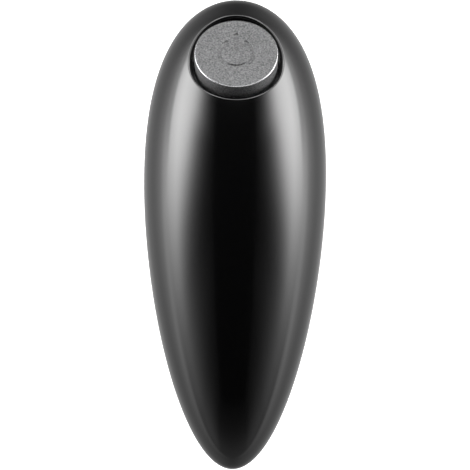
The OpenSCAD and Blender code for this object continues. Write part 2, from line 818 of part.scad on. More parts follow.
// Half of the flange is cut back so that the stop pin lets the carrier turn through its swing
module cutter_carrier() {
    notch = carrier_swing + 2 * stop_half_angle;
    color("#9c9fa3") at(carrier_at) difference() {
        union() {
            rod(journal_r, carrier_foot, flange_z + flange_t);
            rotate(stop_half_angle) rotate_extrude(angle = 360 - notch)
                translate([journal_r - 1, flange_z]) square([flange_r - journal_r + 1, flange_t]);
            rod(post_r, flange_z, post_top);
        }
        difference() {
            rod(post_r + 1, clip_z, clip_z + clip_t);
            rod(clip_groove_r, clip_z - 1, clip_z + clip_t + 1);
        }
        translate([0, cutter_ecc, 0]) rod(cutter_thread_r + snug, carrier_foot - 1, chassis_z);
    }
}

module cutter_wheel() {
    color("#c3c6ca") at(cutter_at) rotate_extrude() polygon([
        [cutter_axle_r + run, cutter_hub_z], [cutter_hub_r, cutter_hub_z], [cutter_hub_r, cutter_z - 0.9],
        [cutter_r - 2, cutter_z - 0.9], [cutter_r, cutter_z], [cutter_r - 2, cutter_z + 0.9],
        [cutter_hub_r, cutter_z + 0.9], [cutter_hub_r, carrier_foot - 0.2],
        [cutter_axle_r + run, carrier_foot - 0.2]]);
}

// Shoulder screw: its shoulder is the cutter's axle
module cutter_screw() {
    color("#8b8d90") at(cutter_at) difference() {
        union() {
            rod(3.6, cutter_hub_z - 1.7, cutter_hub_z - 0.1);
            rod(cutter_axle_r, cutter_hub_z - 0.2, carrier_foot);
            rod(cutter_thread_r, carrier_foot - EPS, chassis_z - 1);
        }
        rotate(35) box([-4, -0.45, cutter_hub_z - 2], [4, 0.45, cutter_hub_z - 1.1]);
    }
}

module clutch_gear() {
    color("#d9d4c4") at(carrier_at) difference() {
        wheel_towards(carrier_at, drive_at, clutch_gear_teeth, module_clutch, clutch_shift, clutch_z, clutch_t);
        rod(post_r + run, 0, FAR);
    }
}

module friction_washer() {
    color("#7a4a2a") at(carrier_at) tube(journal_r, post_r + 0.3, washer_z, washer_z + washer_t);
}

module clutch_spring() {
    color("silver") at(carrier_at) rotate_extrude() polygon([
        [post_r + 0.2, clutch_spring_z + clutch_spring_h - 0.35], [post_r + 0.2, clutch_spring_z + clutch_spring_h],
        [post_r + 0.9, clutch_spring_z + clutch_spring_h], [post_r + 4, clutch_spring_z + 0.35],
        [post_r + 4, clutch_spring_z]]);
}

module carrier_clip() {
    color("silver") at(carrier_at) difference() {
        tube(post_r + 1.8, clip_groove_r + snug, clip_z + snug, clip_z + clip_t - snug);
        box([-1.6, 0, clip_z - 1], [1.6, post_r + 3, clip_z + 2]);
    }
}

module magnet_cup() {
    color("silver") at(magnet_at) difference() {
        rod(magnet_r, base_z - 3.8, base_z + 1.1);
        rod(magnet_r - 0.8, base_z - 5, base_z + 0.3);
    }
}

module lid_magnet() {
    color("#55585c") at(magnet_at) rod(magnet_r - 0.8 - snug, base_z - 3.6, base_z + 0.3);
}

// ---------------------------------------------------------------- batteries

module battery_cradle() {
    color("#26262a") difference() {
        intersection() {
            egg_solid(wall + 0.4);
            union() {
                box([-cradle_half_w, bay_front - bulkhead_t, floor_z + 0.1], [cradle_half_w, bay_front, cradle_top]);
                box([-cradle_half_w, bay_back - bulkhead_t, floor_z + 0.1], [cradle_half_w, bay_back, cradle_top]);
                box([-cradle_half_w, bay_back - bulkhead_t, cradle_top - EPS],
                    [cradle_half_w, bay_front, cradle_top + cradle_roof_t]);
                for (s = [-1, 1]) box([s > 0 ? cradle_half_w - 1 : -cradle_half_w, bay_back - EPS, floor_z + 4],
                                      [s > 0 ? cradle_half_w : 1 - cradle_half_w, bay_front, axis_z - 1]);
                for (x = [-8, 8], y = [-10, 10]) translate([x, control_y + y, 0])
                    rod(1.4, cradle_top, control_z);
            }
        }
        box([-latch_half_w - 1, bay_back - bulkhead_t - 1, floor_z], [latch_half_w + 1, bay_back + 1, floor_z + 2.4]);
        for (s = [-1, 1]) translate([s * cell_pitch / 2, 0, tab_z - 0.1])
            box([-1.1, bay_front - bulkhead_t - 1, 0], [1.1, bay_front + 1, plate_t + 0.2]);
        box([-door_half_w - 4, hinge_at[0] - 3.3, floor_z], [-door_half_w + 0.2, hinge_at[0] + 3.3, hinge_at[1] + 2.6]);
        box([door_half_w - 0.2, hinge_at[0] - 3.3, floor_z], [door_half_w + 4, hinge_at[0] + 3.3, hinge_at[1] + 2.6]);
    }
}

// A cell's place: side, layer and which way its nub points
module each_cell() {
    for (p = polarities)
        translate([p[0] * cell_pitch / 2, 0, low_cells_z + p[1] * cell_pitch]) {
            $nub = p[2];
            children();
        }
}

module battery_cells() {
    color("#3a6f3f") each_cell() {
        front = $nub > 0 ? cells_front - nub_l : cells_front;
        nub_at = $nub > 0 ? front : front - cell_l - nub_l;
        translate([0, front, 0]) rotate([90, 0, 0]) rod(cell_r, 0, cell_l);
        translate([0, nub_at + ($nub > 0 ? nub_l : nub_l), 0]) rotate([90, 0, 0]) rod(2.7, 0, nub_l + EPS);
    }
}

// Plates that join the cells in series; the two upper front ones carry the pack's tabs
module contact_plates() {
    half = cell_pitch / 2;
    front = bay_front - bulkhead_t;
    color("#cfcfca") {
        box([-half - 5, front - plate_t, low_cells_z - 5], [half + 5, front, low_cells_z + 5]);
        for (s = [-1, 1]) {
            box([s * half - 5, front - plate_t, high_cells_z - 5], [s * half + 5, front, high_cells_z + 5]);
            box([s * half - 1, front - EPS, tab_z], [s * half + 1, bay_front + 1, tab_z + plate_t]);
            box([s * half - 5, bay_back, low_cells_z - 5], [s * half + 5, bay_back + plate_t, high_cells_z + 3]);
        }
    }
}

// Springs press on the flat end of each cell, at the front or the back
module contact_springs() {
    color("silver") each_cell() {
        if ($nub < 0)
            translate([0, bay_front - bulkhead_t - plate_t, 0]) rotate([90, 0, 0])
                coil(4.4, 3, 0, bay_front - bulkhead_t - plate_t - cells_front - 0.05, 1, 0.24, 14, 6);
        else
            translate([0, bay_back + plate_t, 0]) rotate([-90, 0, 0])
                coil(4.6, 2.6, 0, cells_back + nub_l - nub_l - bay_back - plate_t - 0.05, 3, 0.3, 12, 6);
    }
}

module battery_door() {
    color("#1b1b1c") difference() {
        union() {
            box([-door_half_w, door_back, base_z], [door_half_w, door_front, base_z + door_t]);
            translate([-door_half_w, hinge_at[0], hinge_at[1]]) rotate([0, 90, 0]) rod(hinge_r, 0, 2 * door_half_w);
            translate([-door_half_w - 1.6, hinge_at[0], hinge_at[1]]) rotate([0, 90, 0])
                rod(hinge_pin_r, 0, 2 * door_half_w + 3.2);
        }
        box([-latch_half_w - 0.3, door_back - 1, base_z - 1], [latch_half_w + 0.3, door_back + latch_l, floor_z + 1]);
    }
}

// Springy tongue at the door's free end, with a nib that hooks over the floor's edge
module door_latch() {
    color("#1b1b1c") difference() {
        union() {
            box([-latch_half_w, door_back, base_z], [latch_half_w, door_back + latch_l, base_z + door_t]);
            box([-latch_half_w + 1, door_back, base_z + door_t - EPS], [latch_half_w - 1, door_back + 1.4, floor_z + 1.4]);
            box([-latch_half_w + 1, door_back - 1.6, floor_z + 0.2], [latch_half_w - 1, door_back + EPS, floor_z + 1.4]);
        }
        for (i = [0 : 3]) translate([0, door_back + 2.2 + 1.6 * i, base_z]) rotate([0, 90, 0])
            rod(0.45, -latch_half_w + 1, latch_half_w - 1);
    }
}

// ---------------------------------------------------------------- electronics and wiring

module control_board() {
    color("#1d5c37") translate([0, control_y, 0])
        box([-board_size[0] / 2, -board_size[1] / 2, control_z], [board_size[0] / 2, board_size[1] / 2, control_z + 1.2]);
}

module board_chips() {
    top = control_z + 1.2;
    color("#1a1a1a") translate([0, control_y, 0]) {
        box([-3, -7, top], [3, 3, top + 1.6]);
        translate([6.5, -6, 0]) rod(2.4, top, top + 3.2);
        translate([-6.5, 6, 0]) rod(1.8, top, top + 2.6);
        box([4.4, 4, top], [8.6, 8, top + 2.2]);
    }
}

// Routes of the wires, whose ends meet what they join
wire_r = 0.6;
board_top = control_z + 1.2;
motor_terminal_z = motor_floor_z + 2.1;
lead_z = board_top + 0.05;
function pack_route(s) = [
    [s * 6, control_y + 10.4, lead_z], [s * 6, control_y + 10.5, lead_z + 1.6], [s * 6.3, control_y + 13, lead_z + 2],
    [s * 6.8, bay_front + 0.7, control_z], [s * 7.35, bay_front + 1, tab_z + 3], [s * 7.35, bay_front + 0.8, tab_z + 0.45]];
motor_route = [
    [9.3, control_y + 11, lead_z], [9.3, control_y + 11.1, lead_z + 1.6], [11, control_y + 13.5, lead_z + 1.8],
    [15, bay_front + 2.4, control_z - 2], [17.6, bay_front + 3, control_z - 12], [17, bay_front + 2, control_z - 22],
    [12.5, bay_front + 1.2, motor_terminal_z + 2.5], [6.1, bay_front + 1.2, motor_terminal_z + 0.65]];
switch_route = [
    [0, control_y + 10, lead_z], [0, control_y + 10.2, lead_z + 1.6], [-0.5, control_y + 14, lead_z + 3.2],
    [-2, motor_at[1] - 4, 50], [-4, motor_at[1] + 8, 51], [-5, gear_2_at[1] - 6, 51.2], [-7, gear_2_at[1] + 9, 50.6],
    over_cover(from_button([-9.5, -18, -18.8])), over_cover(from_button([-6, -10, -19.6])),
    from_button([switch_lead[0], switch_lead[1], -18.5]),
    from_button([switch_lead[0], switch_lead[1], board_z - 0.05])];
// A wire's point, kept clear of the gearbox cover's lower level
function over_cover(p) = [p[0], p[1], max(p[2], step_z + deck_t + wire_r + 0.4)];
// A point of the button's frame in the body's
function from_button(p) = [
    p[0],
    button_y + p[1] * cos(button_tilt) + p[2] * sin(button_tilt),
    button_z - p[1] * sin(button_tilt) + p[2] * cos(button_tilt)];

module wire_red() {
    color("#b3261e") sweep(spline(pack_route(1)), wire_r);
}

module wire_black() {
    color("#1a1a1a") sweep(spline(pack_route(-1)), wire_r);
}

module wire_motor() {
    color("#b3261e") sweep(spline(motor_route), wire_r, [0.7, -0.7, 0.1]);
}

module wire_switch() {
    color("#d8d8d8") sweep(spline(switch_route), wire_r);
}

// ---------------------------------------------------------------- nodes

top_shell();
bottom_shell();
housing_screws();
button();
button_spring();
switch_bracket();
switch_board();
push_switch();
switch_plunger();
chassis_plate();
chassis_screws();
gearbox_cover();
cover_screws();
gear_pins();
stop_pin();
motor_can();
motor_end_bell();
motor_terminals();
motor_screws();
motor_shaft();
motor_pinion();
gear_1();
gear_2();
gear_3();
drive_shaft();
drive_gear();
drive_pinion();
drive_wheel();
drive_wheel_screw();
lower_bush();
upper_bush();
shaft_seal();
clutch_gear();
friction_washer();
clutch_spring();
carrier_clip();
cutter_carrier();
cutter_wheel();
cutter_screw();
lid_magnet();
magnet_cup();
battery_cradle();
battery_cells();
contact_plates();
contact_springs();
battery_door();
door_latch();
control_board();
board_chips();
wire_red();
wire_black();
wire_motor();
wire_switch();
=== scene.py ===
"""Looks of the can opener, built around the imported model.

The builders work in millimetres; the meshes are in metres.
"""
import json
import math

import bmesh
import bpy
import numpy as np
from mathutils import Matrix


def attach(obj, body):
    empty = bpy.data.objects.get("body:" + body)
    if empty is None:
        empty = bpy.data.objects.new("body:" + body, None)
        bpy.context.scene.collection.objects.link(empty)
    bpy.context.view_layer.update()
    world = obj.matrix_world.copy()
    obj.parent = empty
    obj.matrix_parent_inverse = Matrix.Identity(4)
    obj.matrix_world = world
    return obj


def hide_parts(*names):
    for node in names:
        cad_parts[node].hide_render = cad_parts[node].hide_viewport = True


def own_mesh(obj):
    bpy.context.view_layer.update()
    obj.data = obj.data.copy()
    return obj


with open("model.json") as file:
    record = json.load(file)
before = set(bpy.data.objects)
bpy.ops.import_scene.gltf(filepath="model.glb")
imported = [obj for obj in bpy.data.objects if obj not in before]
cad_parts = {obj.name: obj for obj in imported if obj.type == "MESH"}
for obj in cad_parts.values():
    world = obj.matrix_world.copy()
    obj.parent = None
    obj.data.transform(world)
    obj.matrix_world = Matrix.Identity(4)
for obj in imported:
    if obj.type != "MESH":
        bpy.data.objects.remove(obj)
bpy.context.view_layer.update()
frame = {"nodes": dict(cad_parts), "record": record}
nodes = frame["nodes"]

MM = 0.001
scene = bpy.context.scene

# ------------------------------------------------------------------ camera

PICTURE_M = 0.18542
CAMERA_Z = 1.5
AXIS_Z = 21.5
camera = bpy.data.objects.new("camera", bpy.data.cameras.new("camera"))
camera.data.sensor_width = 36
camera.data.lens = 36 * (CAMERA_Z - AXIS_Z * MM) / PICTURE_M
camera.data.clip_start = 0.01
camera.location = (0.00019, -0.0001, CAMERA_Z)
camera.rotation_euler = (0, 0, math.radians(0.55))
scene.collection.objects.link(camera)
scene.camera = camera
scene.view_settings.view_transform = "Standard"
scene.view_settings.look = "None"

# ------------------------------------------------------------------ the body's surfaces

BODY_R, HALF_L, WALL = 35.0, 92.5, 2.4
BASE_Z, FLOOR_Z = 7.5, 9.9
EGG = (1.0, 0.222, 0.087, 0.042)


def taper(u):
    return EGG[0] + u * (EGG[1] + u * (EGG[2] + u * EGG[3]))


def taper_slope(u):
    return EGG[1] + u * (2 * EGG[2] + u * 3 * EGG[3])


def radius2(y, inset=0.0):
    """The square of the body's radius at y, and its slope along y."""
    r, half = BODY_R - inset, HALF_L - inset
    u = np.clip(np.asarray(y, float) / half, -1, 1)
    p = taper(u)
    return r * r * (1 - u * u) * p * p, r * r * (2 * (1 - u * u) * p * taper_slope(u) - 2 * u * p * p) / half


def outline(t, inset=0.0):
    """Points of the outline seen from above, t = 0 at the head's tip, and their outward normals."""
    r, half = BODY_R - inset, HALF_L - inset
    c, s = np.cos(t), np.sin(t)
    points = np.stack([r * s * taper(c), half * c], 1)
    dx = r * (c * taper(c) - s * s * taper_slope(c))
    dy = -half * s
    n = np.stack([-dy, dx], 1)
    return points, n / np.linalg.norm(n, axis=1)[:, None]


def even_outline(count):
    """Angles of the outline's parameter that lie evenly along it."""
    t = np.linspace(0, 2 * math.pi, 8001)
    p = outline(t)[0]
    run = np.concatenate([[0], np.cumsum(np.linalg.norm(np.diff(p, axis=0), axis=1))])
    return np.interp(np.linspace(0, run[-1], count, endpoint=False), run, t)


def egg_normal(p, inset=0.0):
    slope = radius2(p[:, 1], inset)[1]
    n = np.stack([p[:, 0], -slope / 2, p[:, 2] - AXIS_Z], 1)
    return n / np.linalg.norm(n, axis=1)[:, None]


def nearest(p, inset=0.0):
    """Signed distance from the body's surface (negative inside) and the surface's normal there."""
    t = np.linspace(0, math.pi, 6001)
    q, n = outline(t, inset)
    radial = np.hypot(p[:, 0], p[:, 2] - AXIS_Z)
    at = np.stack([radial, p[:, 1]], 1)
    best = np.empty(len(p), int)
    for k in range(0, len(p), 200):
        d = ((at[k:k + 200, None, :] - q[None]) ** 2).sum(2)
        best[k:k + 200] = d.argmin(1)
    away = at - q[best]
    m = n[best]
    out = np.stack([p[:, 0] / radial * m[:, 0], m[:, 1], (p[:, 2] - AXIS_Z) / radial * m[:, 0]], 1)
    return (away * m).sum(1), out


def on_surface(xy, side, inset=0.0, least=0.0):
    """Points on the body above (side 1) or below (side -1) plan points."""
    r2 = radius2(xy[:, 1], inset)[0]
    h = np.sqrt(np.maximum(r2 - xy[:, 0] ** 2, least * least))
    return np.column_stack([xy, AXIS_Z + side * h])


def slerp(a, b, t):
    w = np.arccos(np.clip((a * b).sum(1), -1, 1))[:, None]
    return (np.sin((1 - t) * w) * a + np.sin(t * w) * b) / np.sin(w)


# ------------------------------------------------------------------ meshes from rings

class Rings:
    """A closed surface of rings of equal length; each band is smooth, with its own normals, or flat."""

    def __init__(self, first):
        self.rings = [np.asarray(first, float)]
        self.bands = []

    def to(self, points, n0=None, n1=None):
        self.rings.append(np.asarray(points, float))
        self.bands.append((n0, n1))

    def mesh(self, name, caps=(), own_normals=True):
        count, total = len(self.rings[0]), len(self.rings)
        verts = np.concatenate(self.rings)
        faces, normals, smooth = [], [], []
        i = np.arange(count)
        j = (i + 1) % count
        for k, (n0, n1) in enumerate(self.bands):
            a, b = k * count, (k + 1) % total * count
            quads = np.stack([a + i, a + j, b + j, b + i], 1)
            faces.append(quads)
            if n0 is None:
                normals.append(np.zeros((count, 4, 3)))
                smooth += [False] * count
            else:
                normals.append(np.stack([n0[i], n0[j], n1[j], n1[i]], 1))
                smooth += [True] * count
        faces, normals = np.concatenate(faces), np.concatenate(normals)
        v = verts[faces]
        volume = sum(np.einsum("ij,ij->i", v[:, 0], np.cross(v[:, a], v[:, a + 1])).sum() for a in (1, 2))
        flip = volume < 0
        if flip:
            faces, normals = faces[:, ::-1], normals[:, ::-1]
        polygons = [tuple(f) for f in faces]
        loops = [tuple(n) for n in normals.reshape(-1, 3)]
        for ring, normal in caps:
            index = [int(x) for x in (ring % total) * count + i]
            fan = np.cross(verts[index[1]] - verts[index[0]], verts[index[2]] - verts[index[0]])
            if fan @ np.asarray(normal) < 0:
                index.reverse()
            polygons.append(tuple(index))
            smooth.append(False)
            loops += [(0.0, 0.0, 0.0)] * count
        me = bpy.data.meshes.new(name)
        me.from_pydata((verts * MM).tolist(), [], polygons)
        me.update()
        me.polygons.foreach_set("use_smooth", smooth)
        if own_normals:
            me.normals_split_custom_set(loops)
        else:
            bm = bmesh.new()
            bm.from_mesh(me)
            bmesh.ops.recalc_face_normals(bm, faces=bm.faces)
            bm.to_mesh(me)
            bm.free()
        return me


def piece(name, me, body, replaces=()):
    o = bpy.data.objects.new(name, me)
    scene.collection.objects.link(o)
    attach(o, body)
    if replaces:
        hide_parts(*replaces)
    return o


# ------------------------------------------------------------------ the button's frame

TILT = math.radians(34.4)
FACE = np.array([0.0, 70.2, 48.535])
E1 = np.array([1.0, 0, 0])
E2 = np.array([0, math.cos(TILT), -math.sin(TILT)])
UP = np.array([0, math.sin(TILT), math.cos(TILT)])
BUTTON_R, HOLE_R = 16.2, 17.4
COLLAR_R, COLLAR_BORE = HOLE_R + 0.8, BUTTON_R + 0.25
COLLAR_TOP, COLLAR_FOOT = -8.6, -12
SKIRT, ROOF, BUTTON_WALL = -10, -1.8, 1.5


def from_button(p):
    p = np.asarray(p, float)
    return FACE + p[:, :1] * E1 + p[:, 1:2] * E2 + p[:, 2:3] * UP


def turn_from_button(n):
    n = np.asarray(n, float)
    return n[:, :1] * E1 + n[:, 1:2] * E2 + n[:, 2:3] * UP


# ------------------------------------------------------------------ top shell

EDGE = 0.3


def make_top_shell(count=640, steps=150, fillet=1.0):
    def ball(phi):
        """Centre of the ball that rolls between the hole's wall and the body's outside."""
        d = np.cos(phi)[:, None] * E1 + np.sin(phi)[:, None] * E2
        foot = FACE + (HOLE_R + fillet) * d
        h0, h1 = np.full(len(phi), -6.0), np.full(len(phi), -2.0)
        f0 = nearest(foot + h0[:, None] * UP)[0] + fillet
        for _ in range(7):
            f1 = nearest(foot + h1[:, None] * UP)[0] + fillet
            step = np.where(np.abs(f1 - f0) > 1e-9, f1 * (h1 - h0) / np.where(f1 == f0, 1, f1 - f0), 0)
            h0, f0 = h1, f1
            h1 = h1 - step
        c = foot + h1[:, None] * UP
        return c, d, nearest(c)[1]

    t = even_outline(count)
    q = outline(t)[0]
    nq = outline(t)[1]
    dense = np.linspace(0, 2 * math.pi, 721)[:-1]
    c, d, n = ball(dense)
    mouth = (c + fillet * n)[:, :2]
    middle = mouth.mean(0)
    seen = np.unwrap(np.arctan2(*(mouth - middle).T[::-1]))
    want = np.arctan2(*(q - middle).T[::-1])
    sign = np.sign(seen[-1] - seen[0])
    phase = seen[0]
    rel = (sign * (want - phase)) % (2 * math.pi)
    phi = np.interp(rel, np.append(sign * (seen - phase), 2 * math.pi), np.append(dense, 2 * math.pi))
    c, d, n = ball(phi)
    top = c + fillet * n

    r = Rings(FACE + HOLE_R * d + COLLAR_TOP * UP)
    wall_top = c - fillet * d
    r.to(wall_top, -d, -d)
    last = -d
    for k in range(1, 11):
        m = slerp(-d, n, k / 10)
        r.to(c + fillet * m, last, m)
        last = m
    last = egg_normal(top)
    for k in range(1, steps + 1):
        s = 1 - (1 - k / steps) ** 2
        p = on_surface(top[:, :2] * (1 - s) + q * s, 1, 0, EDGE)
        m = egg_normal(p) if k < steps else np.column_stack([nq, np.zeros(count)])
        r.to(p, last, m)
        last = m
    side = np.column_stack([nq, np.zeros(count)])
    down = np.tile([0.0, 0, -1], (count, 1))
    rim = np.column_stack([q, np.full(count, AXIS_Z + EDGE)]) - EDGE * side
    for k in range(1, 5):
        m = slerp(side, down, k / 4)
        r.to(rim + EDGE * m, last, m)
        last = m
    q1 = outline(t, WALL / 2)[0]
    q2 = outline(t, WALL)[0]
    lip = AXIS_Z + 1.8
    r.to(np.column_stack([q1, np.full(count, AXIS_Z)]))
    r.to(np.column_stack([q1, np.full(count, lip)]))
    r.to(np.column_stack([q2, np.full(count, lip)]))
    # the inside, back to the collar
    lo, hi = np.full(count, -12.0), np.full(count, 4.0)
    for _ in range(40):
        mid = (lo + hi) / 2
        p = FACE + COLLAR_R * d + mid[:, None] * UP
        inside = p[:, 0] ** 2 + (p[:, 2] - AXIS_Z) ** 2 < radius2(p[:, 1], WALL)[0]
        lo, hi = np.where(inside, mid, lo), np.where(inside, hi, mid)
    join = FACE + COLLAR_R * d + lo[:, None] * UP
    last = -egg_normal(r.rings[-1], WALL)
    inner = steps // 2
    for k in range(1, inner + 1):
        s = (k / inner) ** 2
        p = on_surface(q2 * (1 - s) + join[:, :2] * s, 1, WALL, 1.8) if k < inner else join
        m = -egg_normal(p, WALL)
        r.to(p, last, m)
        last = m
    r.to(FACE + COLLAR_R * d + COLLAR_FOOT * UP, d, d)
    r.to(FACE + COLLAR_BORE * d + COLLAR_FOOT * UP)
    r.to(FACE + COLLAR_BORE * d + COLLAR_TOP * UP, -d, -d)
    r.bands.append((None, None))
    return r.mesh("top_shell_outer")


# ------------------------------------------------------------------ bottom shell

GUARD_AT, GUARD_IN, GUARD_OUT, GUARD_HALF_ARC = (0.0, 70.0), 14.5, 16.7, 115
MAGNET_AT, DRIVE_AT = (0.0, 28.0), (0.0, 50.0)
SHELL_SCREWS = [(-21.5, 66.0), (21.5, 66.0), (-26.0, -2.0), (26.0, -2.0), (0.0, -72.0)]
DOOR_X, DOOR_Y0, DOOR_Y1, DOOR_T = 15.3, -65.7, -11.2, 1.9
HINGE_Z, HINGE_R, DOOR_GAP = 8.7, 1.2, 0.3


def rounded_rectangle(x0, y0, x1, y1, r, steps=6):
    out = []
    for cx, cy, a0 in ((x1 - r, y1 - r, 0), (x0 + r, y1 - r, 90), (x0 + r, y0 + r, 180), (x1 - r, y0 + r, 270)):
        for k in range(steps + 1):
            a = math.radians(a0 + 90 * k / steps)
            out.append((cx + r * math.cos(a), cy + r * math.sin(a)))
    return out


def circle(x, y, r, count=48):
    turns = [2 * math.pi * k / count for k in range(count)]
    return [(x + r * math.cos(a), y + r * math.sin(a)) for a in turns]


def levels(bm, rings):
    """A closed solid through rings of points with the same count, from the lowest up."""
    rows = [[bm.verts.new([c * MM for c in p]) for p in ring] for ring in rings]
    count = len(rows[0])
    for a, b in zip(rows, rows[1:]):
        for k in range(count):
            j = (k + 1) % count
            bm.faces.new((a[k], a[j], b[j], b[k]))
    bm.faces.new(rows[0][::-1])
    bm.faces.new(rows[-1])


def prism(bm, outline_points, z0, z1):
    levels(bm, [[(x, y, z) for x, y in outline_points] for z in (z0, z1)])


def cylinder_x(bm, x0, x1, y, z, r, count=32):
    ring = circle(y, z, r, count)
    levels(bm, [[(x, p[0], p[1]) for p in ring] for x in (x0, x1)])


def solid(name, build):
    bm = bmesh.new()
    build(bm)
    bmesh.ops.recalc_face_normals(bm, faces=bm.faces)
    me = bpy.data.meshes.new(name)
    bm.to_mesh(me)
    bm.free()
    return me


def combine(me, added, removed):
    """The mesh with solids joined to it, then others cut from it, one after the other."""
    o = bpy.data.objects.new("work", me)
    scene.collection.objects.link(o)
    helpers = []
    for operation, builds in (("UNION", added), ("DIFFERENCE", removed)):
        for build in builds:
            h = bpy.data.objects.new("tool", solid("tool", build))
            scene.collection.objects.link(h)
            helpers.append(h)
            mod = o.modifiers.new("cut", "BOOLEAN")
            mod.operation, mod.object, mod.solver = operation, h, "MANIFOLD"
    bpy.context.view_layer.update()
    deps = bpy.context.evaluated_depsgraph_get()
    out = bpy.data.meshes.new_from_object(o.evaluated_get(deps))
    for h in [o] + helpers:
        bpy.data.objects.remove(h)
    return out


def crease(me, angle=32):
    """Smooth faces with creases where they meet at more than the angle."""
    me.polygons.foreach_set("use_smooth", [True] * len(me.polygons))
    me.set_sharp_from_angle(angle=math.radians(angle))


def guard_solid(bm):
    """The curved guard, with a rounded foot and rounded ends."""
    mid, half = (GUARD_IN + GUARD_OUT) / 2, (GUARD_OUT - GUARD_IN) / 2
    arc = math.radians(GUARD_HALF_ARC)
    plan = []
    for k in range(121):
        a = math.pi / 2 + arc - 2 * arc * k / 120
        plan.append((a, half, 0.0))
    for k in range(1, 12):
        w = math.pi * k / 12
        plan.append((math.pi / 2 - arc, half * math.cos(w), half * math.sin(w)))
    for k in range(121):
        a = math.pi / 2 - arc + 2 * arc * k / 120
        plan.append((a, -half, 0.0))
    for k in range(1, 12):
        w = math.pi * k / 12
        plan.append((math.pi / 2 + arc, -half * math.cos(w), -half * math.sin(w)))

    def ring(z, shrink):
        out = []
        for a, side, end in plan:
            f = (half - shrink) / half
            r = mid + side * f
            x, y = GUARD_AT[0] + r * math.cos(a), GUARD_AT[1] + r * math.sin(a)
            out.append((x + end * f * math.sin(a), y - end * f * math.cos(a), z))
        return out

    foot = 0.8
    rows = [ring(foot - foot * math.sin(math.radians(w)), foot - foot * math.cos(math.radians(w)))
            for w in (90, 75, 60, 45, 30, 15, 0)]
    levels(bm, rows + [ring(BASE_Z + 1.2, 0)])


